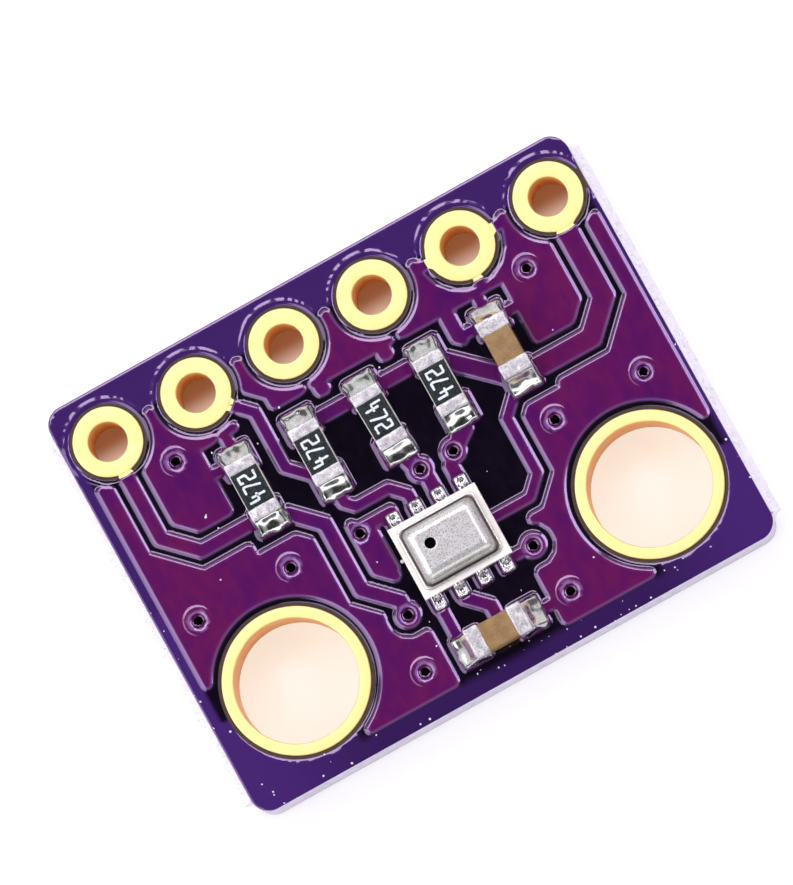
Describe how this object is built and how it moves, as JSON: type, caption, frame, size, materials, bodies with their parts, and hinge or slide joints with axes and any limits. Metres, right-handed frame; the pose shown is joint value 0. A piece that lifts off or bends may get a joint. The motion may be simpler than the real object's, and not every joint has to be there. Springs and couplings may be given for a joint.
{
  "type": "pressure sensor module",
  "caption": "Small purple circuit board with a header row, plated mounting holes, chip parts and a vented metal-can pressure sensor.",
  "frame": {"origin": "middle of the board's underside", "axes": "+X along the header row, +Y from the mounting holes towards the header row, +Z from the bare underside to the side with the parts"},
  "size_m": [0.0154, 0.0116, 0.0025],
  "materials": {
    "glass_fibre_board": "satin lacquer over woven glass",
    "masked_copper": "glossy purple solder mask",
    "gold_plate": "thin gold over nickel",
    "alumina": "matt white",
    "dark_glaze": "dark glass coat",
    "tinned_end": "bright tin",
    "solder": "bright solder",
    "tan_ceramic": "satin tan",
    "pale_substrate": "matt cream",
    "silicon": "polished grey",
    "nickel_can": "satin nickel"
  },
  "bodies": {
    "root": {"laminate": "glass_fibre_board", "copper_address": "masked_copper", "copper_select": "masked_copper", "copper_data": "masked_copper", "copper_clock": "masked_copper", "copper_supply": "masked_copper", "copper_ground": "masked_copper", "header_pad_1": "gold_plate", "header_pad_2": "gold_plate", "header_pad_3": "gold_plate", "header_pad_4": "gold_plate", "header_pad_5": "gold_plate", "header_pad_6": "gold_plate", "mounting_ring_left": "gold_plate", "mounting_ring_right": "gold_plate", "resistor_1_body": "alumina", "resistor_1_glaze": "dark_glaze", "resistor_1_terminals": "tinned_end", "resistor_1_solder": "solder", "resistor_2_body": "alumina", "resistor_2_glaze": "dark_glaze", "resistor_2_terminals": "tinned_end", "resistor_2_solder": "solder", "resistor_3_body": "alumina", "resistor_3_glaze": "dark_glaze", "resistor_3_terminals": "tinned_end", "resistor_3_solder": "solder", "resistor_4_body": "alumina", "resistor_4_glaze": "dark_glaze", "resistor_4_terminals": "tinned_end", "resistor_4_solder": "solder", "capacitor_1_body": "tan_ceramic", "capacitor_1_terminals": "tinned_end", "capacitor_1_solder": "solder", "capacitor_2_body": "tan_ceramic", "capacitor_2_terminals": "tinned_end", "capacitor_2_solder": "solder", "sensor_contacts": "gold_plate", "sensor_substrate": "pale_substrate", "sensor_circuit_die": "silicon", "sensor_pressure_die": "silicon", "sensor_lid": "nickel_can", "sensor_solder": "solder"}
  },
  "joints": []
}
